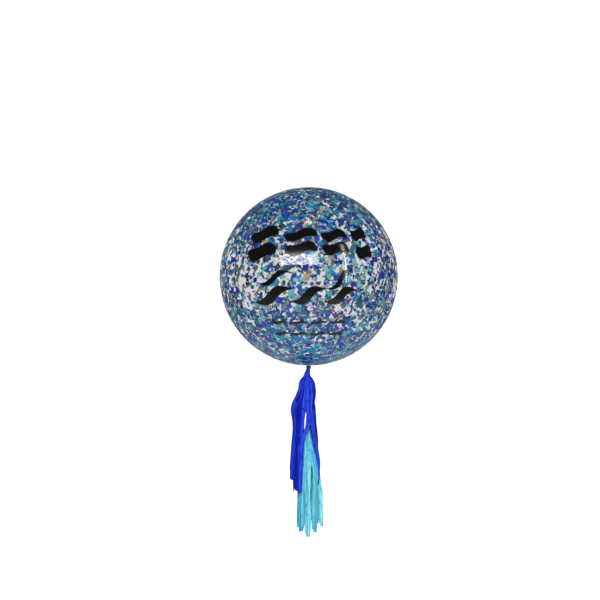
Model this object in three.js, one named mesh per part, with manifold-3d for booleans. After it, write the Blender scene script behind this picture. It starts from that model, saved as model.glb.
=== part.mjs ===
// Clear bubble balloon with vinyl strokes on its front and a tail of two tissue tassels.
// Millimetres, +Z up. The strokes face -Y, and the origin is the tie round the balloon's neck.
import * as THREE from "three";
import { mergeVertices } from "three/addons/utils/BufferGeometryUtils.js";
import Module from "manifold-3d";

const wasm = await Module();
wasm.setup();

// Driving dimensions
const BALL_DIAMETER = 560; // a 24 inch bubble, blown up to 22 inches
const NECK_RADIUS = 3.2; // the film gathered under the tie
const NECK_END_RADIUS = 4.2;
const NECK_LENGTH = 15; // how far the film hangs below the origin
const VINYL_THICKNESS = 0.6;
const FIT_GAP = 0.3; // between pieces that touch
const TIE_HALF_WIDTH = 7.2;
const TIE_HEIGHT = 8.8;
const RIBBON_WIDTH = 5;
const RIBBON_THICKNESS = 1.2;

// Worked out
const R = BALL_DIAMETER / 2;
const BALL_BOTTOM = 1.5;
const BALL_CENTRE = BALL_BOTTOM + R;

// The faceting
const AROUND = 44;
const BALL_ROWS = 24;
const LOCK_SIDES = 7;
const TWIST_SIDES = 12;
const TWIST_STEPS = 12;
const RIBBON_STEPS = 14;
const LOOP_SIDES = 8;
const LOOP_STEPS = 14;
const HOLE_SIDES = 22;

// Materials
const film = new THREE.MeshStandardMaterial({
  color: 0xe8eef0,
  roughness: 0.04,
  metalness: 0,
  transparent: true,
  opacity: 0.3,
});
const blackVinyl = new THREE.MeshStandardMaterial({ color: 0x0d0d0e, roughness: 0.25, metalness: 0 });
const royalTissue = new THREE.MeshStandardMaterial({ color: 0x1a1fc4, roughness: 0.7, metalness: 0 });
const aquaTissue = new THREE.MeshStandardMaterial({ color: 0x6ecbd8, roughness: 0.7, metalness: 0 });
const navyRibbon = new THREE.MeshStandardMaterial({ color: 0x0a0f5c, roughness: 0.4, metalness: 0 });

// A closed geometry as a solid, for joins and cuts
function solidOf(geometry) {
  const bare = geometry.clone();
  bare.deleteAttribute("normal");
  bare.deleteAttribute("uv");
  const merged = mergeVertices(bare, 1e-4);
  return new wasm.Manifold(
    new wasm.Mesh({
      numProp: 3,
      vertProperties: new Float32Array(merged.attributes.position.array),
      triVerts: new Uint32Array(merged.index.array),
    }),
  );
}

function geometryOf(solid) {
  const mesh = solid.getMesh();
  const positions = new Float32Array(mesh.numVert * 3);
  for (let i = 0; i < mesh.numVert; i++) {
    const from = i * mesh.numProp;
    positions.set(mesh.vertProperties.subarray(from, from + 3), i * 3);
  }
  const geometry = new THREE.BufferGeometry();
  geometry.setAttribute("position", new THREE.BufferAttribute(positions, 3));
  geometry.setIndex(new THREE.BufferAttribute(new Uint32Array(mesh.triVerts), 1));
  geometry.computeVertexNormals();
  return geometry;
}

function joined(geometries) {
  return geometries.map(solidOf).reduce((sum, next) => sum.add(next));
}

function piece(name, geometry, material) {
  const mesh = new THREE.Mesh(geometry, material);
  mesh.name = name;
  return mesh;
}

// A closed tube hung along a curve of points [x, y, z], with level oval sections.
// section(t) gives the half width, half depth and turn of the section, t running from 0 at the top to 1.
function hungTube(points, sides, steps, section) {
  const curve = new THREE.CatmullRomCurve3(points.map((p) => new THREE.Vector3(...p)));
  const tube = new THREE.CylinderGeometry(1, 1, 1, sides, steps);
  const position = tube.attributes.position;
  for (let i = 0; i < position.count; i++) {
    const t = 0.5 - position.getY(i);
    const middle = curve.getPoint(t);
    const [halfWidth, halfDepth, turn = 0] = section(t);
    const angle = Math.atan2(position.getZ(i), position.getX(i)) + turn;
    const reach = Math.hypot(position.getX(i), position.getZ(i));
    position.setXYZ(
      i,
      middle.x + halfWidth * reach * Math.cos(angle),
      middle.y - halfDepth * reach * Math.sin(angle),
      middle.z,
    );
  }
  return tube;
}

const mix = THREE.MathUtils.lerp;
const smooth = THREE.MathUtils.smoothstep;
const radians = THREE.MathUtils.degToRad;

// The bubble: a sealed ball of film, drawn in to a gathered neck

function bubble() {
  const profile = [
    new THREE.Vector2(0, -NECK_LENGTH),
    new THREE.Vector2(NECK_END_RADIUS, -NECK_LENGTH),
    new THREE.Vector2(NECK_RADIUS, -NECK_LENGTH / 2),
    new THREE.Vector2(NECK_RADIUS, BALL_BOTTOM - 1),
  ];
  const firstAngle = Math.asin((3 * NECK_RADIUS) / R);
  for (let row = 0; row <= BALL_ROWS; row++) {
    const angle = mix(firstAngle, Math.PI, row / BALL_ROWS);
    profile.push(new THREE.Vector2(R * Math.sin(angle), BALL_CENTRE - R * Math.cos(angle)));
  }
  profile[profile.length - 1].x = 0;
  const ball = new THREE.LatheGeometry(profile, AROUND);
  ball.rotateX(Math.PI / 2);
  return piece("bubble", ball, film);
}

// The vinyl strokes, in rows at a latitude. A stroke in a row has its middle at a longitude and a rise
// from the row, then a length, a thickness and a tilt. Angles are in degrees, and the rest in millimetres.
// A row's strokes wave by bend, and taper to points or have blunt round ends.

const ROWS = [
  {
    name: "top",
    latitude: 18.4,
    bend: 7,
    pointed: false,
    strokes: [
      { longitude: -30, rise: 27, length: 90, thickness: 38, tilt: 8 },
      { longitude: -30, rise: -27, length: 94, thickness: 39, tilt: 4 },
      { longitude: -5.5, rise: 22, length: 92, thickness: 31, tilt: 4 },
      { longitude: -5, rise: -19, length: 88, thickness: 31, tilt: -2 },
      { longitude: 15, rise: 21, length: 74, thickness: 30, tilt: 0 },
      { longitude: 15.5, rise: -19, length: 76, thickness: 31, tilt: -5 },
      { longitude: 32.5, rise: 27, length: 50, thickness: 34, tilt: -6 },
      { longitude: 34.5, rise: -27, length: 56, thickness: 36, tilt: -14 },
    ],
  },
  {
    name: "middle",
    latitude: -8.2,
    bend: 9,
    pointed: true,
    strokes: [
      { longitude: -21, rise: 28, length: 108, thickness: 17, tilt: 16 },
      { longitude: -22.5, rise: -22, length: 124, thickness: 31, tilt: 18 },
      { longitude: -1, rise: -21, length: 100, thickness: 29, tilt: 20 },
      { longitude: 18, rise: 24, length: 96, thickness: 17, tilt: 34 },
      { longitude: 18.5, rise: -22, length: 96, thickness: 29, tilt: 20 },
    ],
  },
  {
    name: "bottom",
    latitude: -33.2,
    bend: 2,
    pointed: false,
    strokes: [-20.6, -7.3, 6, 19].flatMap((longitude) =>
      [20, -20].map((rise) => ({ longitude, rise, length: 46, thickness: 8, tilt: -longitude / 6 })),
    ),
  },
];

// A point of the ball, reached from a middle by going along and up the film, lifted off it
function onBall(longitude, latitude, along, up, lift) {
  const reach = Math.hypot(along, up);
  const [toEast, toNorth] = reach > 0 ? [along / reach, up / reach] : [0, 0];
  const [sinLon, cosLon] = [Math.sin(longitude), Math.cos(longitude)];
  const [sinLat, cosLat] = [Math.sin(latitude), Math.cos(latitude)];
  const out = new THREE.Vector3(sinLon * cosLat, -cosLon * cosLat, sinLat);
  const east = new THREE.Vector3(cosLon, sinLon, 0);
  const north = new THREE.Vector3(-sinLon * sinLat, cosLon * sinLat, cosLat);
  return out
    .multiplyScalar(Math.cos(reach / R))
    .addScaledVector(east, toEast * Math.sin(reach / R))
    .addScaledVector(north, toNorth * Math.sin(reach / R))
    .multiplyScalar(R + lift)
    .add(new THREE.Vector3(0, 0, BALL_CENTRE));
}

function stroke(row, { longitude, rise, length, thickness, tilt }) {
  const steps = Math.max(6, Math.round(length / 10));
  const across = thickness > 12 ? 2 : 1;
  const plate = new THREE.BoxGeometry(1, 1, 1, steps, across, 1);
  const position = plate.attributes.position;
  const turn = radians(tilt);
  for (let i = 0; i < position.count; i++) {
    const s = Math.sin(position.getX(i) * Math.PI); // -1 to 1 along, with closer steps at the ends
    const blunt = Math.sqrt(1 - 0.94 * s ** 4);
    const brush = 0.1 + 0.9 * Math.cos((s * Math.PI) / 2) ** 1.2;
    const run = (s * length) / 2;
    const breadth = thickness * (row.pointed ? brush : blunt);
    const side = row.bend * Math.sin(s * Math.PI) + position.getY(i) * breadth;
    const along = run * Math.cos(turn) - side * Math.sin(turn);
    const up = rise + run * Math.sin(turn) + side * Math.cos(turn);
    const lift = FIT_GAP + (position.getZ(i) + 0.5) * VINYL_THICKNESS;
    position.setXYZ(i, ...onBall(radians(longitude), radians(row.latitude), along, up, lift));
  }
  return plate;
}

function strokes() {
  return ROWS.flatMap((row) =>
    row.strokes.map((s, i) => piece(`${row.name}_stroke_${i + 1}`, stroke(row, s), blackVinyl)),
  );
}

// A tassel is a twisted head and locks of cut tissue that hang from its root. A lock is given by where it
// passes, as [x, y] at its tassel's levels and at its tip, then [half width, half depth] and its tip's level.

const ROYAL_HEAD = { x: -1.2, y: -10.2, radius: 4.1, top: 0.4, bottom: -42 };
const ROYAL = {
  root: [-6, -5, -30],
  levels: [-72, -125, -174, -246, -292],
  locks: {
    outer_left: [[[-23, -6], [-43, -8], [-40, -10], [-45, -12], [-48, -12], [-50, -12]], [11, 11], -352],
    middle_left: [[[-15, -16], [-28, -23], [-29, -24], [-34, -25], [-37, -25], [-40, -26]], [10, 8], -378],
    inner_left: [[[-8, -17], [-17, -23], [-22, -25], [-25, -25], [-26, -25], [-28, -26]], [8, 7], -388],
    crossing: [[[-3, -18], [-3, -25], [-1.5, -26], [-26, -31], [-27, -31], [-28, -31]], [6, 6], -384],
    inner_right: [[[6, -16], [6, -21], [9, -22], [22, -15], [28.5, -5], [29, -3]], [6, 7], -362],
    outer_right: [[[15, -3], [11, -3], [14, -3], [21, 0], [25, 1], [28, 1]], [7, 8], -366],
    back_right: [[[8, 9], [9, 15], [12, 20], [20, 29], [22, 31], [25, 31]], [10, 9], -356],
    back_middle: [[[-2, 14], [2, 27], [3, 28], [-4, 30], [-6, 31], [-8, 31]], [8, 7], -380],
    back_inner: [[[-9, 13], [-22, 25], [-24, 27], [-22, 29], [-24, 30], [-26, 30]], [8, 8], -372],
    back_left: [[[-20, 8], [-38, 13], [-37, 16], [-40, 18], [-43, 18], [-46, 17]], [10, 9], -364],
  },
};

// The aqua tassel hangs on the ribbon inside the royal one, and shows where that parts
const AQUA_LOOP = { z: -158, radius: 8, thickness: 3.2 };
const AQUA = {
  root: [-1, 0, -190],
  levels: [-226, -262, -320, -400],
  locks: {
    front_left: [[[-7, -5], [-14, -8], [-18, -10], [-20, -10], [-22, -10]], [9, 8], -512],
    front_middle: [[[-1, -7], [-1, -11], [-2, -12], [-2, -11], [-3, -11]], [10, 8], -528],
    front_right: [[[5, -5], [9, -9], [19, -16], [17, -10], [18, -9]], [8, 5], -520],
    outer_right: [[[6, 5], [11, 11], [24, 15.5], [35, 13], [39, 9]], [7, 5], -500],
    back_right: [[[4, 6], [8, 12], [12, 16], [18, 8], [21, 7]], [9, 7], -510],
    back_middle: [[[-2, 6], [-4, 11], [-6, 14], [-3, 9], [-3, 8]], [10, 8], -524],
    back_left: [[[-6, 4], [-15, 7], [-22, 8], [-25, 6], [-29, 5]], [9, 8], -505],
  },
};

// A lock swells from the root to its full width, and draws in a little at its cut end
function lock({ root, levels }, [passes, size, tip]) {
  const points = [root, ...passes.map(([x, y], i) => [x, y, levels[i] ?? tip])];
  return hungTube(points, LOCK_SIDES, points.length + 4, (t) => {
    const swell = mix(0.55, 1, smooth(t, 0, 0.4)) * mix(1, 0.85, smooth(t, 0.85, 1));
    return size.map((half) => half * swell);
  });
}

function locks(tassel) {
  return Object.values(tassel.locks).map((shape) => lock(tassel, shape));
}

// Tissue rolled into a rope: an oval section that turns as it goes down
function twist(points, turns, [topWidth, topDepth], [endWidth, endDepth]) {
  return hungTube(points, TWIST_SIDES, TWIST_STEPS, (t) => {
    const flare = t ** 3;
    const drawnIn = mix(1, 0.5, smooth(t, 0.8, 1));
    const halfWidth = mix(topWidth, endWidth, flare) * drawnIn;
    const halfDepth = mix(topDepth, endDepth, flare) * drawnIn;
    return [halfWidth, halfDepth, turns * 2 * Math.PI * t];
  });
}

function royalTassel(channel) {
  const { x, y, radius, top, bottom } = ROYAL_HEAD;
  const [rootX, rootY] = ROYAL.root;
  const route = [[x, y, top], [x, y, bottom / 4], [mix(x, rootX, 0.6), mix(y, rootY, 0.3), bottom / 2]];
  const head = twist([...route, [rootX, rootY, bottom]], 0.5, [radius, radius], [15, 12]);
  const whole = joined([head, ...locks(ROYAL)]).subtract(channel);
  return piece("royal_tassel", geometryOf(whole), royalTissue);
}

function aquaTassel(channel) {
  const { z, radius, thickness } = AQUA_LOOP;
  const [rootX, rootY, rootZ] = AQUA.root;
  const loop = new THREE.TorusGeometry(radius, thickness, LOOP_SIDES, LOOP_STEPS);
  loop.rotateY(Math.PI / 2);
  loop.translate(0, 0, z);
  const route = [[0, 0, z - radius], [rootX, rootY, z - 2.5 * radius], [rootX, rootY, rootZ - 1.5 * radius]];
  const head = twist(route, 0.5, [5, 4], [10, 7]);
  const whole = joined([loop, head, ...locks(AQUA)]).subtract(channel);
  return piece("aqua_tassel", geometryOf(whole), aquaTissue);
}

// The ribbon: wound round the neck and the royal tassel's head, with one end that carries the aqua tassel

const TIE = { front: -17.4, back: 6.4, middle: -0.5, top: BALL_BOTTOM - 1.3 };
const LINK = { radius: 5.5, thickness: 1.1 };
const LINK_Z = AQUA_LOOP.z + AQUA_LOOP.radius - AQUA_LOOP.thickness - FIT_GAP - LINK.thickness + LINK.radius;
const RIBBON_ROUTE = [
  [0, TIE.back, -2],
  [0, TIE.back + 1.5, -12],
  [0, 8, -32],
  [-0.5, 5, -60],
  [0, 1, -110],
  [0, 0, LINK_Z + LINK.radius],
];

function ribbonRun(extra) {
  const section = [RIBBON_WIDTH / 2 + extra, RIBBON_THICKNESS / 2 + extra];
  return hungTube(RIBBON_ROUTE, LOOP_SIDES, RIBBON_STEPS, () => section);
}

function link(extra) {
  const ring = new THREE.TorusGeometry(LINK.radius, LINK.thickness + extra, LOOP_SIDES, LOOP_STEPS);
  ring.rotateX(Math.PI / 2);
  ring.translate(0, 0, LINK_Z);
  return ring;
}

function tieBand() {
  const [left, right] = [TIE.middle - TIE_HALF_WIDTH, TIE.middle + TIE_HALF_WIDTH];
  const [front, back] = [TIE.front + TIE_HALF_WIDTH, TIE.back - TIE_HALF_WIDTH];
  const outline = new THREE.Shape();
  outline.moveTo(right, front);
  outline.lineTo(right, back);
  outline.absarc(TIE.middle, back, TIE_HALF_WIDTH, 0, Math.PI);
  outline.lineTo(left, front);
  outline.absarc(TIE.middle, front, TIE_HALF_WIDTH, Math.PI, 2 * Math.PI);
  const bevel = 1;
  const band = new THREE.ExtrudeGeometry(outline, {
    depth: TIE_HEIGHT - 2 * bevel,
    bevelThickness: bevel,
    bevelSize: bevel,
    bevelOffset: -bevel,
    bevelSegments: 1,
    curveSegments: 8,
  });
  band.translate(0, 0, TIE.top - TIE_HEIGHT + bevel);
  return band;
}

function holeThroughTie(topRadius, bottomRadius, x, y) {
  const hole = new THREE.CylinderGeometry(topRadius, bottomRadius, 3 * TIE_HEIGHT, HOLE_SIDES);
  hole.rotateX(Math.PI / 2);
  hole.translate(x, y, 0);
  return solidOf(hole);
}

function tailRibbon() {
  const neckHole = holeThroughTie(NECK_RADIUS + FIT_GAP, NECK_END_RADIUS + FIT_GAP, 0, 0);
  const headRoom = ROYAL_HEAD.radius + 3 * FIT_GAP;
  const headHole = holeThroughTie(headRoom, headRoom, ROYAL_HEAD.x, ROYAL_HEAD.y);
  const band = solidOf(tieBand()).subtract(neckHole).subtract(headHole);
  return piece("tail_ribbon", geometryOf(band.add(joined([ribbonRun(0), link(0)]))), navyRibbon);
}

// The room that the ribbon keeps through the tissue
const channel = joined([ribbonRun(2 * FIT_GAP), link(2 * FIT_GAP)]);

const balloon = new THREE.Group();
balloon.add(bubble(), ...strokes(), tailRibbon(), royalTassel(channel), aquaTassel(channel));

export default balloon;
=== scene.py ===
"""A clear bubble balloon: confetti sealed in a ball of film, strokes on its front
and a tail of tissue tassels."""
import math

import bpy
import numpy as np
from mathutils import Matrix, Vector


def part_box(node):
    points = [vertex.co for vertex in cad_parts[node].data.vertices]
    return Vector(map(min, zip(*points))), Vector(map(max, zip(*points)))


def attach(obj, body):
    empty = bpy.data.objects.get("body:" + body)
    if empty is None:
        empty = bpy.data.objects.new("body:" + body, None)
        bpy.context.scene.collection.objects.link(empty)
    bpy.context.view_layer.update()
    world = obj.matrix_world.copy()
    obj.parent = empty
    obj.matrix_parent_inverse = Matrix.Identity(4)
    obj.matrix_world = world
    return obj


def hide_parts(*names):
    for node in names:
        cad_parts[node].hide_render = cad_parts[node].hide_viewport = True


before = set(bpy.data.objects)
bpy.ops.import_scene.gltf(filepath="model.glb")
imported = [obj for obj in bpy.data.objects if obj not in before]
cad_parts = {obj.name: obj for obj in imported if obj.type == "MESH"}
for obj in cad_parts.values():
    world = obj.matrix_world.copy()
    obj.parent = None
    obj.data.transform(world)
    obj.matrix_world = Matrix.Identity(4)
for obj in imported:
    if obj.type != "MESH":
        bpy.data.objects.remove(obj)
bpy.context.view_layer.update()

bl_info = {
    "name": "Bubble balloon",
    "version": (1, 0, 0),
    "blender": (4, 5, 0),
    "location": "View3D > Sidebar > Balloon",
    "description": "Makes a clear bubble balloon with confetti, vinyl strokes and a tissue tail",
    "category": "Add Mesh",
}

MM = 0.001

# The ball: its middle stands this high over the tie, and its top is as the frame has it
BALL_CENTRE = 0.2815
BALL_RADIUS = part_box("bubble")[1].z - BALL_CENTRE

# The gathered neck under the ball: [radius, level] of its rings from the top down, in millimetres
NECK_RINGS = [(5.6, 0.9), (4.1, 0.3), (3.3, -0.8), (3.1, -4), (3.1, -7.5), (3.4, -11), (4.1, -14.9)]

# What each row of random draws starts from
CONFETTI_SEED, ROYAL_SEED, AQUA_SEED = 5, 11, 23

SHARP = math.radians(50)  # an edge that turns more than this is kept sharp
SEAM = 2e-6  # points nearer than this are merged where a rolled grid meets itself

# The cuts of confetti: [length, width, lean, taper], as parts of a piece's width, and its share
CUTS = {
    "square": ((1.0, 1.0, 0.0, 0.0), 0.30),
    "oblong": ((1.45, 0.72, 0.0, 0.0), 0.2),
    "slant": ((1.15, 0.85, 0.35, 0.0), 0.17),
    "wedge": ((1.05, 1.0, 0.0, 0.42), 0.13),
    "diamond": ((1.0, 0.9, 0.62, 0.1), 0.12),
    "sliver": ((1.7, 0.42, 0.2, 0.1), 0.04),
    "shard": ((1.2, 0.9, -0.3, 0.75), 0.04),
}

# How much of the confetti that clings, and of the heap, is of each colour
CONFETTI_SHARES = {
    "royal": (0.30, 0.62),
    "teal": (0.33, 0.26),
    "aqua": (0.20, 0.08),
    "pale": (0.17, 0.04),
}
CONFETTI_PAPER = 0.16 * MM  # thickness of a piece
DARK_PATCH, PATCH_WIDTH = [0.03, 0.64, 0.77], 0.2  # a patch of denser pieces, painted dark as painted shade, seen from the ball's middle

# The strokes' rows: at a latitude, waving by bend, with pointed or blunt ends. A stroke has its
# middle at a longitude and a rise from the row, then length, thickness and tilt. Angles are in
# degrees, the rest in millimetres.
STROKE_ROWS = [
    {
        "name": "top",
        "latitude": 18.4,
        "bend": 7,
        "pointed": False,
        "strokes": [
            (-30, 27, 90, 38, 8),
            (-30, -27, 94, 39, 4),
            (-5.5, 22, 92, 31, 4),
            (-5, -19, 88, 31, -2),
            (15, 21, 74, 30, 0),
            (15.5, -19, 76, 31, -5),
            (32.5, 27, 50, 34, -6),
            (34.5, -27, 56, 36, -14),
        ],
    },
    {
        "name": "middle",
        "latitude": -8.2,
        "bend": 9,
        "pointed": True,
        "strokes": [
            (-21, 28, 108, 17, 16),
            (-22.5, -22, 124, 31, 18),
            (-1, -21, 100, 29, 20),
            (18, 24, 96, 17, 34),
            (18.5, -22, 96, 29, 20),
        ],
    },
    {
        "name": "bottom",
        "latitude": -33.2,
        "bend": 2,
        "pointed": False,
        "strokes": [
            (east, rise, 46, 8, -east / 6) for east in (-20.6, -7.3, 6, 19) for rise in (20, -20)
        ],
    },
]

# The tassels, in millimetres. The strips start at gather and part at root. A lock passes [x, y]
# at each level and at its tip, and has [half width, half depth], its tip's level and how light
# its strips are painted, from 0 to 1, as painted light and shade.
ROYAL = {
    "gather": (-5, -8, -22),
    "root": (-6, -5, -30),
    "levels": [-72, -125, -174, -246, -292],
    "locks": {
        "outer_left": (
            [[-23, -6], [-43, -8], [-40, -10], [-45, -12], [-48, -12], [-50, -12]],
            [11, 11], -352, 0.68,
        ),
        "middle_left": (
            [[-15, -16], [-28, -23], [-29, -24], [-34, -25], [-37, -25], [-40, -26]],
            [10, 8], -378, 0.3,
        ),
        "inner_left": (
            [[-8, -17], [-17, -23], [-22, -25], [-25, -25], [-26, -25], [-28, -26]],
            [8, 7], -388, 0.55,
        ),
        "crossing": (
            [[-3, -18], [-3, -25], [-1.5, -26], [-26, -31], [-27, -31], [-28, -31]],
            [6, 6], -384, 0.78,
        ),
        "inner_right": (
            [[6, -16], [6, -21], [9, -22], [22, -15], [28.5, -5], [29, -3]],
            [6, 7], -362, 0.66,
        ),
        "outer_right": (
            [[15, -3], [11, -3], [14, -3], [21, 0], [25, 1], [28, 1]],
            [7, 8], -366, 0.36,
        ),
        "back_right": (
            [[8, 9], [9, 15], [12, 20], [20, 29], [22, 31], [25, 31]],
            [10, 9], -356, 0.45,
        ),
        "back_middle": (
            [[-2, 14], [2, 27], [3, 28], [-4, 30], [-6, 31], [-8, 31]],
            [8, 7], -380, 0.55,
        ),
        "back_inner": (
            [[-9, 13], [-22, 25], [-24, 27], [-22, 29], [-24, 30], [-26, 30]],
            [8, 8], -372, 0.35,
        ),
        "back_left": (
            [[-20, 8], [-38, 13], [-37, 16], [-40, 18], [-43, 18], [-46, 17]],
            [10, 9], -364, 0.6,
        ),
    },
}
AQUA = {
    "gather": (-1, 0, -180),
    "root": (-1, 0, -190),
    "levels": [-226, -262, -320, -400],
    "locks": {
        "front_left": (
            [[-7, -5], [-14, -8], [-18, -10], [-20, -10], [-22, -10]],
            [9, 8], -512, 0.34,
        ),
        "front_middle": (
            [[-1, -7], [-1, -11], [-2, -12], [-2, -11], [-3, -11]],
            [10, 8], -528, 0.62,
        ),
        "front_right": ([[5, -5], [9, -9], [19, -16], [17, -10], [18, -9]], [8, 5], -520, 0.48),
        "outer_right": ([[6, 5], [11, 11], [24, 15.5], [35, 13], [39, 9]], [7, 5], -500, 0.72),
        "back_right": ([[4, 6], [8, 12], [12, 16], [18, 8], [21, 7]], [9, 7], -510, 0.45),
        "back_middle": ([[-2, 6], [-4, 11], [-6, 14], [-3, 9], [-3, 8]], [10, 8], -524, 0.55),
        "back_left": ([[-6, 4], [-15, 7], [-22, 8], [-25, 6], [-29, 5]], [9, 8], -505, 0.4),
    },
}


# Settings


def length(name, description, default, low=0.0):
    return bpy.props.FloatProperty(
        name=name, description=description, default=default, min=low, precision=5, unit="LENGTH"
    )


def colour(name, description, default):
    return bpy.props.FloatVectorProperty(
        name=name, description=description, default=default, size=3, min=0, max=1, subtype="COLOR"
    )


def number(name, description, default):
    return bpy.props.IntProperty(name=name, description=description, default=default)


class FilmSettings(bpy.types.PropertyGroup):
    radius: length("Radius", "Radius of the blown up ball", BALL_RADIUS)
    thickness: length("Thickness", "Thickness of the film's wall", 0.35 * MM)
    veil: bpy.props.FloatProperty(
        name="Veil", description="How much light each face of the film holds back", default=0.15
    )
    tint: colour("Tint", "Colour of the film", (0.016, 0.016, 0.016))


class ConfettiSettings(bpy.types.PropertyGroup):
    count: number("Count", "Pieces that cling to the film", 8500)
    heap: number("Heap", "Pieces that lie at the bottom", 560)
    size: length("Size", "Middle width of a piece", 9.2 * MM)
    royal: colour("Royal", "Colour of the royal blue pieces", (0.007, 0.024, 0.70))
    teal: colour("Teal", "Colour of the cerulean and teal pieces", (0.002, 0.31, 0.62))
    aqua: colour("Aqua", "Colour of the pale aqua pieces", (0.09, 0.60, 0.76))
    pale: colour("Pale", "Colour of the white and silver pieces", (0.70, 0.69, 0.66))


class StrokeSettings(bpy.types.PropertyGroup):
    thickness: length("Thickness", "Thickness of the vinyl", 0.6 * MM)
    gap: length("Gap", "Room between the vinyl and the film", 0.3 * MM)
    black: colour("Black", "Colour of the vinyl", (0.003, 0.003, 0.0035))


class TailSettings(bpy.types.PropertyGroup):
    strips: number("Strips", "Cut strips in each lock of tissue", 11)
    strip_width: length("Strip width", "Width of a cut strip", 12 * MM)
    tissue: length("Tissue", "Thickness of a crinkled strip", 0.35 * MM)
    royal: colour("Royal", "Colour of the upper tassel", (0.002, 0.028, 0.58))
    aqua: colour("Aqua", "Colour of the lower tassel", (0.18, 0.74, 0.84))
    ribbon: colour("Ribbon", "Colour of the ribbon", (0.012, 0.020, 0.22))


class StageSettings(bpy.types.PropertyGroup):
    floor: length("Floor", "Level of the floor", -0.82, low=-5.0)
    distance: length("Distance", "How far the camera stands from the balloon", 2.2)
    paper: colour("Paper", "Colour of the floor and backdrop", (0.90, 0.90, 0.89))


# Materials


class Value:
    """A number that changes over a surface. Arithmetic on it adds Math nodes."""

    def __init__(self, tree, socket):
        self.tree = tree
        self.socket = socket

    def worked(self, operation, first, second):
        node = self.tree.nodes.new("ShaderNodeMath")
        node.operation = operation
        for socket, value in zip(node.inputs, (first, second)):
            if isinstance(value, Value):
                self.tree.links.new(value.socket, socket)
            else:
                socket.default_value = value
        return Value(self.tree, node.outputs[0])

    def __add__(self, other):
        return self.worked("ADD", self, other)

    def __sub__(self, other):
        return self.worked("SUBTRACT", self, other)

    def __rsub__(self, other):
        return self.worked("SUBTRACT", other, self)

    def __mul__(self, other):
        return self.worked("MULTIPLY", self, other)

    __radd__ = __add__
    __rmul__ = __mul__


# Where a Mix node has its factor, its two colours and its result
MIX_FACTOR, MIX_FIRST, MIX_SECOND, MIX_RESULT = 0, 6, 7, 2


class Finish:
    """A material of one Principled shader, and the nodes that vary it over the surface."""

    def __init__(self, name, plain):
        self.material = bpy.data.materials.new(name)
        self.material.use_nodes = True
        self.tree = self.material.node_tree
        self.shader = next(n for n in self.tree.nodes if n.type == "BSDF_PRINCIPLED")
        for socket, value in plain.items():
            self.shader.inputs[socket].default_value = value

    def feed(self, socket, value):
        if isinstance(value, Value):
            self.tree.links.new(value.socket, socket)
        elif isinstance(value, bpy.types.NodeSocket):
            self.tree.links.new(value, socket)
        else:
            socket.default_value = value

    def node(self, kind, settings, inputs):
        made = self.tree.nodes.new(kind)
        for name, value in settings.items():
            setattr(made, name, value)
        for socket, value in inputs.items():
            self.feed(made.inputs[socket], value)
        return made

    def value(self, kind, settings, inputs, output=0):
        return Value(self.tree, self.node(kind, settings, inputs).outputs[output])

    def attribute(self, name):
        return self.value("ShaderNodeAttribute", {"attribute_name": name}, {}, "Fac")

    def noise(self, scale, detail, stretch=(1, 1, 1)):
        where = self.node("ShaderNodeTexCoord", {}, {}).outputs["Object"]
        place = self.node("ShaderNodeMapping", {}, {"Vector": where, "Scale": stretch}).outputs[0]
        sockets = {"Vector": place, "Scale": scale, "Detail": detail}
        return self.value("ShaderNodeTexNoise", {}, sockets)

    def steep(self, value, low, high):
        """0 where the value is under low, 1 where it is over high."""
        sockets = {"Value": value, "From Min": low, "From Max": high}
        return self.value("ShaderNodeMapRange", {"interpolation_type": "SMOOTHSTEP"}, sockets)

    def mixed(self, factor, first, second):
        """A colour between the first and the second, each a tuple or another node's colour."""
        first, second = ((*c, 1) if isinstance(c, tuple) else c for c in (first, second))
        sockets = {MIX_FACTOR: factor, MIX_FIRST: first, MIX_SECOND: second}
        return self.node("ShaderNodeMix", {"data_type": "RGBA"}, sockets).outputs[MIX_RESULT]

    def bump(self, height, strength, distance):
        sockets = {"Height": height, "Strength": strength, "Distance": distance}
        self.set("Normal", self.node("ShaderNodeBump", {}, sockets).outputs[0])

    def set(self, socket, value):
        self.feed(self.shader.inputs[socket], value)


def shade(tint, factor):
    return tuple(min(1.0, c * factor) for c in tint)


def tinged(tint, other, share):
    return tuple(a + (b - a) * share for a, b in zip(tint, other))


def film_finish(settings):
    """Film that is see-through by a plain alpha, faintly uneven in tint and gloss."""
    plain = {"Alpha": settings.veil, "IOR": 1.7, "Specular IOR Level": 0.8}
    finish = Finish("glossy_film", plain)
    cloud = finish.noise(7.0, 3.0)
    tint = tuple(settings.tint)
    warm = tinged(tint, (0.10, 0.09, 0.07), 0.4)
    finish.set("Base Color", finish.mixed(cloud, shade(tint, 0.7), warm))
    finish.set("Roughness", 0.02 + 0.05 * finish.steep(finish.noise(23.0, 2.0), 0.5, 0.8))
    finish.bump(finish.noise(5.0, 1.0), 0.08, 0.002)
    return finish.material


def vinyl_finish(settings):
    """Glossy vinyl with a little dust."""
    finish = Finish("glossy_vinyl", {"Specular IOR Level": 0.42, "IOR": 1.45})
    black = tuple(settings.black)
    dust = finish.steep(finish.noise(160.0, 4.0), 0.62, 0.78)
    dusty = tinged(black, (0.05, 0.05, 0.055), 0.5)
    finish.set("Base Color", finish.mixed(0.2 * dust, shade(black, 0.6), dusty))
    finish.set("Roughness", 0.09 + 0.08 * finish.noise(38.0, 3.0) + 0.08 * dust)
    finish.bump(finish.noise(260.0, 2.0), 0.10, 0.0004)
    return finish.material


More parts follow.
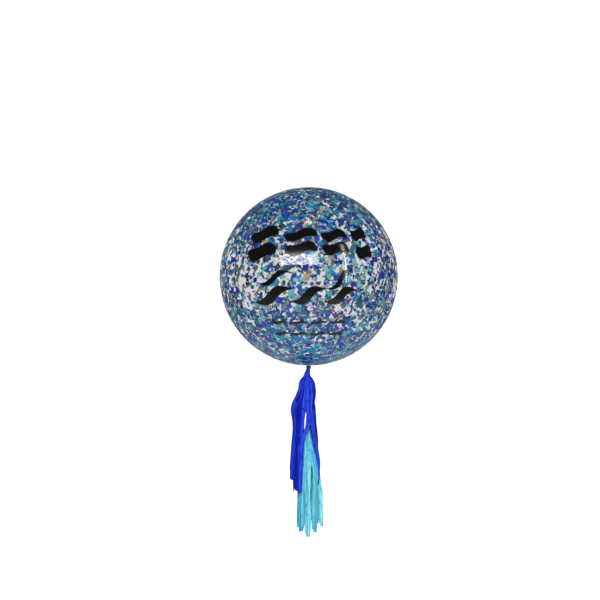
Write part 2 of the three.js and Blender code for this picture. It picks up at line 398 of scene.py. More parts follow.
def paper_finish(name, dark, light, rare, metallic, gloss):
    """Cut paper and film: each piece has a tone from dark to light, random and with painted shade
    and painted light in it, a few are of a rarer colour, and all have faint fibres."""
    finish = Finish(name, {"Specular IOR Level": 0.2})
    tone = finish.attribute("tone")
    fibre = finish.noise(900.0, 3.0)
    base = finish.mixed(finish.steep(tone, 0.09, 0.10), rare, finish.mixed(tone, dark, light))
    finish.set("Base Color", finish.mixed(0.25 * fibre, base, shade(dark, 0.6)))
    finish.set("Roughness", gloss + 0.25 * fibre)
    if metallic:
        finish.set("Metallic", metallic * finish.steep(tone, 0.55, 0.6))
    finish.bump(fibre, 0.15, 0.0002)
    return finish.material


def confetti_finishes(settings):
    royal, teal, aqua, pale = (tuple(getattr(settings, name)) for name in CONFETTI_SHARES)
    bright = {
        "royal": tinged(royal, (0.05, 0.12, 1.0), 0.35),
        "teal": tinged(teal, (0.01, 0.46, 0.88), 0.5),
        "aqua": tinged(aqua, (0.6, 0.9, 0.95), 0.35),
    }
    # dark, light and rare colours, how metallic, and roughness
    looks = {
        "royal": (shade(royal, 0.3), bright["royal"], (0.11, 0.02, 0.42), 0, 0.42),
        "teal": (shade(teal, 0.2), bright["teal"], (0.01, 0.08, 0.11), 0, 0.42),
        "aqua": (shade(aqua, 0.6), bright["aqua"], (0.12, 0.56, 0.46), 0, 0.42),
        "pale": ((0.17, 0.13, 0.09), pale, (0.62, 0.38, 0.13), 0.7, 0.35),
    }
    return {name: paper_finish(f"{name}_paper", *look) for name, look in looks.items()}


def tissue_finish(name, body, deep_shade, light):
    """Tissue paper: a tone on each strip and fold that carries painted light and shade, painted
    shade along long sharp creases and a painted highlight along a fine crinkle, whose lines are
    where a noise passes its middle value."""
    finish = Finish(name, {"Specular IOR Level": 0.1})
    tone = finish.attribute("tone")
    fold = finish.noise(62.0, 2.0, (1, 1, 0.2)) - 0.5
    crumple = finish.noise(150.0, 3.0, (1, 1, 0.55)) - 0.5
    crease = 1.0 - finish.steep(fold * fold, 0.0, 0.0009)
    crinkle = 1.0 - finish.steep(crumple * crumple, 0.0, 0.0012)
    # Painted light and shade: the tone runs from the shaded to the lit colour of the tissue.
    base = finish.mixed(finish.steep(tone, 0.05, 0.95), deep_shade, light)
    # Painted highlight along the crinkle lines.
    crinkle_highlight = finish.mixed(0.15 * crinkle, base, light)
    # Painted shade along the crease lines.
    crease_shaded = finish.mixed(0.8 * crease, crinkle_highlight, deep_shade)
    finish.set("Base Color", finish.mixed(finish.steep(crumple, 0.08, 0.3), crease_shaded, body))
    finish.set("Roughness", 0.62 + 0.2 * crinkle)
    finish.bump(1.6 * fold + 1.4 * crumple + 0.25 * crinkle, 0.9, 0.0022)
    return finish.material


def ribbon_finish(settings):
    """Satin with fine threads along it."""
    finish = Finish("satin_ribbon", {"Specular IOR Level": 0.6, "Sheen Weight": 0.3})
    navy = tuple(settings.ribbon)
    thread = finish.noise(1400.0, 2.0, (1, 1, 0.15))
    finish.set("Base Color", finish.mixed(thread, shade(navy, 0.6), shade(navy, 1.7)))
    finish.set("Roughness", 0.30 + 0.2 * thread)
    finish.bump(thread, 0.3, 0.0003)
    return finish.material


def stage_finish(settings):
    """Seamless paper, burnt out to white behind the balloon as in a catalogue picture. What is
    seen directly is brighter than what falls on the balloon, so that the film isn't fogged."""
    finish = Finish("stage_paper", {"Emission Strength": 0.88, "Specular IOR Level": 0.1})
    paper = tuple(settings.paper)
    grain = finish.noise(40.0, 5.0)
    finish.set("Base Color", finish.mixed(0.1 * grain, paper, shade(paper, 0.94)))
    seen = finish.value("ShaderNodeLightPath", {}, {}, "Is Camera Ray")
    finish.set("Emission Color", finish.mixed(seen, (0.08, 0.08, 0.08), (1.0, 1.0, 0.99)))
    finish.set("Roughness", 0.85 + 0.1 * grain)
    return finish.material


# Modelling


def deselect():
    if bpy.context.object and bpy.context.object.mode != "OBJECT":
        bpy.ops.object.mode_set(mode="OBJECT")
    bpy.ops.object.select_all(action="DESELECT")


def only(piece):
    deselect()
    piece.select_set(True)
    bpy.context.view_layer.objects.active = piece


def points_of(piece):
    flat = np.empty(len(piece.data.vertices) * 3)
    piece.data.vertices.foreach_get("co", flat)
    return flat.reshape(-1, 3)


def set_points(piece, points):
    piece.data.vertices.foreach_set("co", np.asarray(points, np.float32).ravel())
    piece.data.update()


def edited(piece, *steps):
    """Takes the piece into edit mode with all of it selected, and runs each step."""
    only(piece)
    bpy.ops.object.mode_set(mode="EDIT")
    bpy.ops.mesh.select_all(action="SELECT")
    for step in steps:
        step()
    bpy.ops.object.mode_set(mode="OBJECT")
    return piece


def face_out():
    bpy.ops.mesh.normals_make_consistent(inside=False)


def smooth_step(value, low, high):
    t = np.clip((value - low) / (high - low), 0, 1)
    return t * t * (3 - 2 * t)


def mix(a, b, t):
    return a + (b - a) * t


def new_grid(name, across, along):
    """A flat grid from -1 to 1, to be shaped by its own x and y."""
    deselect()
    bpy.ops.mesh.primitive_grid_add(x_subdivisions=across, y_subdivisions=along, size=2)
    piece = bpy.context.object
    piece.name = name
    return piece


def rolled(name, around, along, shape, filled=True):
    """A grid rolled up by shape(angle, t), with its seams merged. It is a tube with filled ends,
    or else it closes on itself."""
    piece = new_grid(name, around, along)
    at = points_of(piece)
    set_points(piece, shape(at[:, 0] * np.pi, (at[:, 1] + 1) / 2))
    steps = [lambda: bpy.ops.mesh.remove_doubles(threshold=SEAM)]
    if filled:
        steps.append(lambda: bpy.ops.mesh.fill_holes(sides=0))
        steps.append(lambda: bpy.ops.mesh.select_all(action="SELECT"))
    return edited(piece, *steps, face_out)


def copies(name, model, places, tones):
    """One mesh of copies of the model: one for each array of points in places, with its own tone,
    which is one number or one for each point."""
    faces = [list(face.vertices) for face in model.data.polygons]
    count = len(model.data.vertices)
    all_faces = [[v + k * count for v in face] for k in range(len(places)) for face in faces]
    mesh = bpy.data.meshes.new(name)
    mesh.from_pydata(np.concatenate(places).tolist(), [], all_faces)
    tone = mesh.attributes.new("tone", "FLOAT", "POINT")
    at_points = [np.broadcast_to(np.float32(t), count) for t in tones]
    tone.data.foreach_set("value", np.concatenate(at_points))
    piece = bpy.data.objects.new(name, mesh)
    bpy.context.collection.objects.link(piece)
    return piece


def remove(piece):
    mesh = piece.data
    bpy.data.objects.remove(piece)
    bpy.data.meshes.remove(mesh)


def joined(name, pieces):
    deselect()
    for piece in pieces:
        piece.select_set(True)
    bpy.context.view_layer.objects.active = pieces[0]
    bpy.ops.object.join()
    pieces[0].name = name
    return pieces[0]


def with_tone(piece, value):
    tone = piece.data.attributes.new("tone", "FLOAT", "POINT")
    tone.data.foreach_set("value", np.full(len(piece.data.vertices), value, np.float32))
    return piece


def thickened(piece, thickness, offset):
    only(piece)
    wall = piece.modifiers.new("wall", "SOLIDIFY")
    wall.thickness = thickness
    wall.offset = offset
    wall.use_even_offset = False
    bpy.ops.object.modifier_apply(modifier=wall.name)
    return piece


def finished(piece, name, material, nodes=()):
    """Names a piece and its mesh, gives it its material, and sets it on the balloon's one body."""
    piece.name = name
    piece.data.name = name
    piece.data.materials.clear()
    piece.data.materials.append(material)
    only(piece)
    bpy.ops.object.shade_smooth_by_angle(angle=SHARP)
    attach(piece, "root")
    if nodes:
        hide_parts(*nodes)
    deselect()


# The film


def gather_neck(radius):
    """Draws the ball's lowest ring down into the neck, by extruding it from level to level."""
    low = BALL_CENTRE - radius
    pole = 1e-4  # a point nearer the axis than this is the ball's lowest one
    near = [math.hypot(x, y) for x, y, z in points_of(bpy.context.object) if z < low + 0.003]
    reach = min(r for r in near if r > pole)
    level = BALL_CENTRE - math.sqrt(radius**2 - reach**2)
    bpy.ops.mesh.select_all(action="DESELECT")
    bpy.ops.object.mode_set(mode="OBJECT")
    for vertex in bpy.context.object.data.vertices:
        x, y, z = vertex.co
        vertex.select = math.hypot(x, y) < pole and z < low + 0.001
    bpy.ops.object.mode_set(mode="EDIT")
    bpy.ops.mesh.delete(type="VERT")
    bpy.ops.mesh.select_non_manifold()
    for ring, height in NECK_RINGS:
        drop = height * MM - level
        bpy.ops.mesh.extrude_region_move(TRANSFORM_OT_translate={"value": (0, 0, drop)})
        grow = ring * MM / reach
        bpy.ops.transform.resize(value=(grow, grow, 1))
        reach, level = ring * MM, height * MM
    bpy.ops.mesh.extrude_region_move(TRANSFORM_OT_translate={"value": (0, 0, 0)})
    bpy.ops.mesh.merge(type="CENTER")


def make_film(settings):
    """The ball of film, pleated where it draws in to the neck, with a wall on its inner side."""
    deselect()
    bpy.ops.mesh.primitive_uv_sphere_add(
        segments=144, ring_count=96, radius=settings.radius, location=(0, 0, BALL_CENTRE)
    )
    film = bpy.context.object
    bpy.ops.object.transform_apply(location=True, rotation=False, scale=False)
    edited(film, lambda: gather_neck(settings.radius))
    at = points_of(film)
    around = np.arctan2(at[:, 1], at[:, 0])
    out = np.hypot(at[:, 0], at[:, 1])
    pleat = 0.5 * np.cos(9 * around) + 0.5 * np.cos(14 * around + 1.0)
    in_neck = at[:, 2] < 0.0012
    strength = np.where(in_neck, 0.10, 0.016 * (1 - smooth_step(out, 0.012, 0.075)))
    off_axis = out > 1e-5
    at[off_axis, :2] *= (1 + strength * pleat)[off_axis, None]
    set_points(film, at)
    edited(film, face_out)
    thickened(film, settings.thickness, -1)
    finished(film, "film_ball", film_finish(settings), ["bubble"])


# The confetti


def cut_models(size, thickness):
    """The cuts of confetti, each modelled once: a small sheet with a slight curl, with its
    corners moved to make a square, an oblong, a slanted cut, a wedge or a diamond."""
    models = []
    for name, ((long, wide, lean, taper), _) in CUTS.items():
        chip = new_grid(name, 2, 1)
        bpy.ops.object.mode_set(mode="EDIT")
        bpy.ops.mesh.extrude_region_move(TRANSFORM_OT_translate={"value": (0, 0, 1)})
        bpy.ops.object.mode_set(mode="OBJECT")
        at = points_of(chip)
        x, y, z = at.T
        curl = 0.07 * (1 - x**2)
        shaped = np.stack([
            (x * long + y * lean) * size / 2,
            y * wide * (1 - taper * (x + 1) / 2) * size / 2,
            curl * size + (z - 0.5) * thickness,
        ], axis=1)
        set_points(chip, shaped)
        edited(chip, face_out)
        models.append(chip)
    return models


def frames_at(directions, rng, lean):
    """Axes for pieces that lie against the film at these directions, turned at random and
    leaning a little."""
    out = directions / np.linalg.norm(directions, axis=1, keepdims=True)
    up = np.where(np.abs(out[:, 2:3]) > 0.9, [[1.0, 0, 0]], [[0, 0, 1.0]])
    east = np.cross(up, out)
    east /= np.linalg.norm(east, axis=1, keepdims=True)
    north = np.cross(out, east)
    turn = rng.uniform(0, 2 * np.pi, (len(out), 1))
    a = east * np.cos(turn) + north * np.sin(turn)
    tilt = lean[:, None]
    third = out * np.cos(tilt) + a * np.sin(tilt)
    first = a * np.cos(tilt) - out * np.sin(tilt)
    return first, np.cross(third, first), third


def crowded_and_shaded(direction):
    """1 in the middle of the patch high on the ball's back, where pieces are denser and painted
    dark as painted shade, 0 away from it.
    """
    away = np.linalg.norm(direction - DARK_PATCH, axis=1)
    return np.exp(-((away / PATCH_WIDTH) ** 2))


def clinging(settings, radius, rng):
    """Places, directions and sizes of the confetti that clings to the film."""
    wanted = settings.count
    direction = rng.normal(size=(wanted * 4, 3))
    direction /= np.linalg.norm(direction, axis=1, keepdims=True)
    x, y, z = direction.T
    patch = np.sin(5.1 * x + 2.0) * np.sin(4.3 * y - 1.0) + np.sin(6.2 * z + 3.1 * x)
    weight = 0.66 + 0.07 * patch
    weight += 0.40 * smooth_step(z, 0.35, 0.85) + 0.26 * smooth_step(-z, 0.3, 0.8)
    weight -= 0.16 * np.exp(-((z + 0.02) ** 2) / 0.05)
    weight += 0.5 * crowded_and_shaded(direction)
    weight *= 1 - np.exp(-((z + 1) ** 2) / 0.00002)
    kept = direction[rng.uniform(0, 1.2, len(direction)) < weight][:wanted]
    size = np.clip(rng.lognormal(0, 0.42, len(kept)), 0.38, 1.8)
    lean = np.abs(rng.normal(0, math.radians(4), len(kept)))
    half = settings.size * size * 0.85
    depth = 0.0005 + half**2 / (2 * radius) + half * np.sin(lean)
    depth += rng.uniform(0, 0.0016, len(kept))
    return kept * (radius - depth)[:, None], kept, size, lean


def heaped(settings, radius, rng):
    """Places, directions and sizes of the loose confetti that lies at the bottom of the ball."""
    widest, highest = 0.066, 0.021
    reach = widest * np.sqrt(rng.uniform(0.012, 1, settings.heap))
    around = rng.uniform(0, 2 * np.pi, settings.heap)
    x, y = reach * np.cos(around), reach * np.sin(around)
    bed = -np.sqrt(radius**2 - reach**2)
    top = highest * (1 - (reach / 0.07) ** 2)
    size = np.clip(rng.lognormal(0, 0.3, settings.heap), 0.5, 1.5)
    lean = np.abs(rng.normal(0, math.radians(22), settings.heap))
    base = 0.0012 + settings.size * size * 0.8 * np.sin(lean)
    z = bed + base + top * rng.uniform(0, 1, settings.heap)
    place = np.stack([x, y, z], axis=1)
    return place, place, size, lean


def make_confetti(settings, film):
    """All the loose pieces: one mesh for each colour, whose every piece has a cut and a tone."""
    rng = np.random.default_rng(CONFETTI_SEED)
    radius = film.radius - film.thickness
    groups = [clinging(settings, radius, rng), heaped(settings, radius, rng)]
    place, direction, size, lean = (np.concatenate(parts) for parts in zip(*groups))
    first, second, third = frames_at(direction, rng, lean)
    place = place + np.array([0, 0, BALL_CENTRE])
    models = cut_models(settings.size, CONFETTI_PAPER)
    outlines = [points_of(model) for model in models]
    cut = rng.choice(len(models), len(place), p=[share for _, share in CUTS.values()])
    names = list(CONFETTI_SHARES)
    family = np.concatenate([
        rng.choice(len(names), len(group[0]), p=share)
        for group, share in zip(groups, zip(*CONFETTI_SHARES.values()))
    ])
    unit = direction / np.linalg.norm(direction, axis=1, keepdims=True)
    fewer_pale = 0.65 * smooth_step(np.abs(unit[:, 2]), 0.3, 0.7)
    recoloured = (family == names.index("pale")) & (rng.uniform(size=len(place)) < fewer_pale)
    family[recoloured] = names.index("teal")
    # Painted shade: pieces in the patch high on the ball's back get a dimmer tone.
    painted_shade = 1 - 0.75 * crowded_and_shaded(unit)
    # Painted light: pieces get a brighter tone towards the bottom of the ball, in place of more
    # light from below.
    painted_light_below = 0.3 * smooth_step(-unit[:, 2], 0.4, 0.8)
    tone = np.minimum(rng.uniform(0, 1, len(place)) * painted_shade + painted_light_below, 1)
    stretch = rng.uniform(0.8, 1.2, len(place))
    finishes = confetti_finishes(settings)
    for index, name in enumerate(names):
        parts = []
        for kind, outline in enumerate(outlines):
            chosen = np.flatnonzero((family == index) & (cut == kind))
            places = [
                place[i]
                + outline[:, 0:1] * size[i] * stretch[i] * first[i]
                + outline[:, 1:2] * size[i] / stretch[i] * second[i]
                + outline[:, 2:3] * third[i]
                for i in chosen
            ]
            parts.append(copies(f"{name}_{kind}", models[kind], places, tone[chosen]))
        piece = joined(f"{name}_confetti", parts)
        finished(piece, f"{name}_confetti", finishes[name])
    for model in models:
        remove(model)


# The strokes


def on_ball(longitude, latitude, along, up, lift):
    """Points of the ball, reached from a middle by going along and up the film, lifted off it."""
    reach = np.hypot(along, up)
    safe = np.maximum(reach, 1e-9)
    sin_lon, cos_lon = math.sin(longitude), math.cos(longitude)
    sin_lat, cos_lat = math.sin(latitude), math.cos(latitude)
    out = np.array([sin_lon * cos_lat, -cos_lon * cos_lat, sin_lat])
    east = np.array([cos_lon, sin_lon, 0])
    north = np.array([-sin_lon * sin_lat, cos_lon * sin_lat, cos_lat])
    turn = (reach / BALL_RADIUS)[:, None]
    toward = (along / safe)[:, None] * east + (up / safe)[:, None] * north
    direction = out * np.cos(turn) + toward * np.sin(turn)
    return direction * (BALL_RADIUS + lift) + np.array([0, 0, BALL_CENTRE])


def make_stroke(row, index, settings, material):
    """One wavy stroke: a grid laid on the film, thickened outwards, with its edge eased."""
    longitude, rise, long, thick, tilt = row["strokes"][index]
    name = f"{row['name']}_stroke_{index + 1}"
    stroke = new_grid(name, 56, 12)
    x, y, _ = points_of(stroke).T
    s = np.sin(x * np.pi / 2)
    blunt = np.sqrt(1 - 0.94 * s**4)
    brush = 0.1 + 0.9 * np.cos(s * np.pi / 2).clip(0) ** 1.2
    run = s * long / 2 * MM
    breadth = thick * MM * (brush if row["pointed"] else blunt)
    side = row["bend"] * MM * np.sin(s * np.pi) + y / 2 * breadth
    turn = math.radians(tilt)
    along = run * math.cos(turn) - side * math.sin(turn)
    up = rise * MM + run * math.sin(turn) + side * math.cos(turn)
    middle = math.radians(longitude), math.radians(row["latitude"])
    set_points(stroke, on_ball(*middle, along, up, settings.gap))
    thickened(stroke, settings.thickness, 1)
    only(stroke)
    edge = stroke.modifiers.new("edge", "BEVEL")
    edge.width = 0.15 * MM
    edge.angle_limit = SHARP
    bpy.ops.object.modifier_apply(modifier=edge.name)
    finished(stroke, f"vinyl_{name}", material, [name])


def make_strokes(settings):
    material = vinyl_finish(settings)
    for row in STROKE_ROWS:
        for index in range(len(row["strokes"])):
            make_stroke(row, index, settings, material)


# The tassels


def route_at(level, stops):
    """x and y at each level of a route that passes smoothly through its stops [x, y, z], which
    go from the top down."""
    stops = np.array(stops, float)[::-1]
    heights, across = stops[:, 2], stops[:, :2]
    slope = np.gradient(across, heights, axis=0)
    i = np.clip(np.searchsorted(heights, level) - 1, 0, len(heights) - 2)
    gap = (heights[i + 1] - heights[i])[:, None]
    t = np.clip((level[:, None] - heights[i][:, None]) / gap, 0, 1)
    first = (2 * t**3 - 3 * t**2 + 1) * across[i] + (t**3 - 2 * t**2 + t) * gap * slope[i]
    return first + (3 * t**2 - 2 * t**3) * across[i + 1] + (t**3 - t**2) * gap * slope[i + 1]


def strip_shape(u, v, tassel, lock, strip, rng):
    """The points and tones of a strip of tissue that hangs in a lock: u runs across it from -1
    to 1, and v from its top to its cut end. It wraps a part of the lock's oval, broad where the
    sheet is uncut, with folds along it, one edge further out than the other, a wandering path
    and a slanted cut."""
    passes, (half_width, half_depth), tip, light = lock
    angle, reach, width = strip
    levels = [*tassel["levels"], tip]
    top, root = tassel["gather"][2], tassel["root"]
    shoulder = [mix(a, b, 0.6) for a, b in zip(root, passes[0])]
    stops = [tassel["gather"], root, (*shoulder, mix(root[2], levels[0], 0.3))]
    stops += [(x, y, z) for (x, y), z in zip(passes, levels)]
    end = tip + rng.uniform(-9, 14)
    slant = rng.uniform(-3, 3)
    level = mix(top, end, v) + slant * u * v**6
    middle = route_at(np.clip(level, tip, top), stops)
    t = np.clip((root[2] - level) / (root[2] - tip), 0, 1)
    swell = mix(0.85, 1.0, smooth_step(t, 0, 0.3)) * mix(1.0, 0.92, smooth_step(t, 0.85, 1))
    swell *= mix(0.5, 1.0, smooth_step(top - level, 0, 10))
    broad = mix(2.1, 1.0, smooth_step(t, 0.10, 0.36))
    wrap = broad * width / 2 / ((half_width + half_depth) / 2 * max(reach, 0.5))
    phase = rng.uniform(0, 2 * np.pi, 5)
    wander = 0.35 * np.sin(level / rng.uniform(34, 70) + phase[0]) * smooth_step(t, 0.05, 0.5)
    turn = angle + wander + wrap * u
    folds = rng.uniform(0.8, 1.8)
    depth = rng.uniform(0.08, 0.24) * mix(1.3, 0.85, smooth_step(t, 0.1, 0.5))
    run = np.pi * folds * u / 2 + phase[1] + 0.7 * np.sin(level / 47 + phase[2])
    ridge = 1 - 2 * np.abs(np.sin(run))
    wave = depth * ridge
    yaw = rng.uniform(-0.24, 0.24) * u * (1 + 0.5 * np.sin(level / 61 + phase[4]))
    curl = 0.12 * np.abs(u) ** 3 * np.sin(level / 29 + phase[3])
    crinkle = 0.07 * np.abs(np.sin(level / 9 + 1.6 * u + phase[0]))
    crinkle *= np.sin(level / 15 - u + phase[1])
    crinkle += 0.035 * np.abs(np.sin(level / 5.3 - 2.1 * u + phase[3]))
    out = reach * (1 + wave + yaw + curl + crinkle) + 0.12 * t**2 * math.sin(phase[2])
    x = middle[:, 0] + half_width * swell * out * np.cos(turn)
    y = middle[:, 1] + half_depth * swell * out * np.sin(turn)
    # Painted light and shade: the lock's painted lightness, brighter on fold ridges, dimmer in fold
    # valleys and at the strip's edges, on a random tone.
    tone = light + rng.uniform(-0.2, 0.2) + 0.26 * ridge - 0.2 * (np.abs(u) > 0.9)
    return np.stack([x, y, level], axis=1) * MM, np.clip(tone, 0, 1)


def tissue_strips(name, tassel, settings, seed):
    """The strips of all of a tassel's locks: most in a ring, and two nearer its middle."""
    rng = np.random.default_rng(seed)
    model = new_grid("strip", 6, 56)
    at = points_of(model)
    u, v = at[:, 0], (1 - at[:, 1]) / 2
    places, tones = [], []
    width = settings.strip_width / MM
    for lock in tassel["locks"].values():
        outer = settings.strips - 2
        start = rng.uniform(0, 2 * np.pi)
        for k in range(settings.strips):
            ring = k < outer
            angle = start + 2 * np.pi * (k + rng.uniform(-0.25, 0.25)) / (outer if ring else 2)
            reach = rng.uniform(0.72, 1.08) if ring else rng.uniform(0.35, 0.55)
            strip = (angle, reach, width * rng.uniform(0.75, 1.15))
            place, tone = strip_shape(u, v, tassel, lock, strip, rng)
            places.append(place)
            tones.append(tone)
    piece = copies(name, model, places, tones)
    remove(model)
    return thickened(piece, settings.tissue, 0)


def twisted_head(name, stops, radii, turns, pleats):
    """Tissue rolled into a rope: an oval tube with pleats that run round it as it goes down.
    radii gives [level, half width, half depth] from the top down."""
    heights, half_widths, half_depths = zip(*radii[::-1])

    def shape(angle, t):
        level = mix(heights[0], heights[-1], t)
        middle = route_at(level, stops)
        half_width = np.interp(level, heights, half_widths)
        half_depth = np.interp(level, heights, half_depths)
        turned = angle - turns * 2 * np.pi * t
        pleat = 0.10 * np.cos(pleats * turned) + 0.05 * np.cos((2 * pleats + 1) * turned + 1.0)
        crease = 0.03 * np.sin(level * 1.1 + 3 * angle)
        reach = 1 + pleat + crease
        x = middle[:, 0] + half_width * reach * np.cos(angle)
        y = middle[:, 1] + half_depth * reach * np.sin(angle)
        return np.stack([x, y, level], axis=1) * MM

    return with_tone(rolled(name, 60, 44, shape), 0.55)


def make_royal_tassel(settings):
    strips = tissue_strips("royal_strips", ROYAL, settings, ROYAL_SEED)
    stops = [
        (-1.2, -10.2, 0.4), (-1.4, -10.1, -8), (-4.1, -8.8, -21), (-6, -5.4, -36), (-6, -5, -48),
    ]
    radii = [
        (0.3, 4.0, 4.0), (-8.5, 4.0, 4.0), (-11, 6.4, 5.4), (-20, 7.8, 6.4),
        (-29, 10, 8), (-38, 10, 8.5), (-48, 5, 4),
    ]
    head = twisted_head("royal_head", stops, radii, 0.9, 5)
    tassel = joined("royal_tassel_looks", [strips, head])
    body = tuple(settings.royal)
    # Painted shade and painted light: the shaded and the lit colour of the royal tissue.
    deep_shade, light = (0.001, 0.006, 0.33), tinged(body, (0.05, 0.13, 1.0), 0.55)
    material = tissue_finish("royal_crinkled", body, deep_shade, light)
    finished(tassel, "royal_tissue_tassel", material, ["royal_tassel"])


def tissue_loop(name, level, radius, thickness):
    """The loop of rolled tissue that the lower tassel hangs by, across the balloon's width."""

    def shape(angle, t):
        around = 2 * np.pi * t
        turned = angle + 3 * around
        reach = thickness * (1 + 0.12 * np.cos(4 * turned))
        out = radius + reach * np.cos(angle)
        y, z = out * np.cos(around), level + out * np.sin(around)
        return np.stack([reach * np.sin(angle), y, z], axis=1) * MM

    return with_tone(rolled(name, 20, 72, shape, filled=False), 0.5)


def make_aqua_tassel(settings):
    strips = tissue_strips("aqua_strips", AQUA, settings, AQUA_SEED)
    stops = [(0, 0, -160), (-0.6, 0, -175), (-1, 0, -190), (-1, 0, -206)]
    radii = [(-165, 4.6, 3.8), (-176, 5.2, 4.4), (-188, 7.5, 6), (-198, 8.5, 7), (-206, 4, 4)]
    head = twisted_head("aqua_head", stops, radii, 0.6, 5)
    loop = tissue_loop("aqua_loop", -158, 8, 3.0)
    tassel = joined("aqua_tassel_looks", [strips, head, loop])
    body = tuple(settings.aqua)
    # Painted shade and painted light: the shaded and the lit colour of the aqua tissue.
    deep_shade, light = (0.03, 0.36, 0.58), tinged(body, (0.42, 0.92, 0.96), 0.5)
    material = tissue_finish("aqua_crinkled", body, deep_shade, light)
    finished(tassel, "aqua_tissue_tassel", material, ["aqua_tassel"])


# The ribbon. Its turns, in millimetres: [level, height, tilt, how far out], and their thickness
TURNS = [
    (-0.9, 2.2, 0.15, 0.1),
    (-2.7, 2.4, -0.35, 0.35),
    (-4.6, 2.4, 0.4, 0.2),
    (-6.3, 2.3, -0.3, 0.4),
    (-7.8, 1.8, 0.2, 0.1),
]
TURN_THICK = 1.5


def stadium(t, half_width, front, back, middle):
    """A point on a stadium outline, and the way out of it, t running once round from 0 to 1: up
    its right side, round its back, down its left side and round its front."""
    low, high = front + half_width, back - half_width
    straight, arc = high - low, np.pi * half_width
    corners = np.cumsum([0, straight, arc, straight, arc])
    walked = (t % 1) * corners[-1]
    y = np.interp(walked, corners, [low, high, high, low, low])
    turn = np.interp(walked, corners, [0, 0, np.pi, np.pi, 2 * np.pi])
    nx, ny = np.cos(turn), np.sin(turn)
    return middle + half_width * nx, y + half_width * ny, nx, ny


def squared(value, power):
    """A sine or cosine drawn towards -1 and 1, which makes a circle's section squarer."""
    return np.sign(value) * np.abs(value) ** power


def winding(level, tall, tilt, bulge):
    """One turn of the ribbon round the neck and the tassel's head, at a level, a little tilted."""

    def shape(angle, t):
        x, y, nx, ny = stadium(t, 6.2 + bulge, -16.4 - bulge, 5.4 + bulge, -0.5)
        out = TURN_THICK / 2 * squared(np.cos(angle), 0.6)
        up = tall / 2 * squared(np.sin(angle), 0.6)
        rise = level + up + tilt * np.sin(2 * np.pi * t)
        return np.stack([x + nx * out, y + ny * out, rise], axis=1) * MM

    return rolled("winding", 14, 96, shape, filled=False)


def crossing(x, lean):
    """A turn that goes over the others in front, from above them to below them."""

    def shape(angle, t):
        around = 2 * np.pi * t
        out_y, out_z = 1.7 * np.cos(around), 4.4 * np.sin(around)
        thick = TURN_THICK / 2 * np.cos(angle)
        along = 1.5 * np.sin(angle)
        return np.stack([
            x + along + lean * np.sin(around) * 1.5,
            -17.4 + out_y * (1 + thick / 4),
            -4.3 + out_z * (1 + thick / 6),
        ], axis=1) * MM

    return rolled("knot", 12, 40, shape, filled=False)


def flat_run(name, stops, half_width, half_depth):
    """The ribbon's flat run down inside the tassel."""
    top, bottom = stops[0][2], stops[-1][2]

    def shape(angle, t):
        level = mix(bottom, top, t)
        middle = route_at(level, stops)
        x = middle[:, 0] + half_width * squared(np.cos(angle), 0.5)
        y = middle[:, 1] + half_depth * squared(np.sin(angle), 0.5)
        return np.stack([x, y, level], axis=1) * MM

    return rolled(name, 16, 90, shape)


def ring(name, level, radius, thickness):
    """The ribbon's small ring, which carries the lower tassel's loop."""

    def shape(angle, t):
        around = 2 * np.pi * t
        out = radius + thickness * np.cos(angle)
        x, z = out * np.cos(around), level + out * np.sin(around)
        return np.stack([x, thickness * np.sin(angle), z], axis=1) * MM

    return rolled(name, 12, 48, shape, filled=False)


def make_ribbon(settings):
    turns = [winding(*turn) for turn in TURNS]
    knot = [crossing(-3.2, 0.5), crossing(0.6, -0.4)]
    route = [
        (0, 5.8, -3), (0, 7.9, -12), (0, 8, -32), (-0.5, 5, -60), (0, 1, -110), (0, 0, -143.6),
    ]
    run = flat_run("run", route, 2.5, 0.5)
    link = ring("link", -149.1, 5.5, 1.1)
    ribbon = joined("tail_ribbon_looks", [*turns, *knot, run, link])
    material = ribbon_finish(settings)
    finished(ribbon, "navy_tail_ribbon", material, ["tail_ribbon"])


# The stage. The lights: [way from the ball's middle, distance, [width, height], power, colour,
# mirrored by the film or not]
WHITE, WARM = (1.0, 1.0, 1.0), (1.0, 0.99, 0.97)
LIGHTS = {
    "window": ((-0.195, -0.909, 0.30), 2.0, (1.65, 0.42), 33, WARM, True),
    "strip": ((0.665, -0.713, 0.22), 1.9, (0.07, 1.4), 6, WHITE, True),
    "upper": ((-0.08, -0.40, 0.92), 2.0, (1.5, 0.14), 3, WHITE, True),
    "glint": ((0.921, 0.035, 0.387), 2.0, (0.45, 0.06), 1.2, WHITE, True),
    "fill": ((0.45, -0.85, -0.30), 2.4, (1.6, 1.6), 24, WARM, False),
    "back_left": ((-0.72, 0.66, 0.35), 2.3, (1.2, 1.2), 22, WHITE, False),
    "back_right": ((0.66, 0.72, 0.30), 2.3, (1.2, 1.2), 22, WHITE, False),
}


def area_light(name, toward, distance, size, power, tint, mirrored):
    """A soft box that stands off from the ball's middle and faces it."""
    way = np.array(toward, float) / np.linalg.norm(toward)
    place = np.array([0, 0, BALL_CENTRE]) + way * distance
    deselect()
    bpy.ops.object.light_add(type="AREA", location=place)
    light = bpy.context.object
    light.name = name
    light.rotation_mode = "QUATERNION"
    light.rotation_quaternion = Vector(way).to_track_quat("Z", "Y")
    light.data.shape = "RECTANGLE"
    light.data.size, light.data.size_y = size
    light.data.energy = power
    light.data.color = tint
    light.visible_camera = False
    light.visible_glossy = mirrored


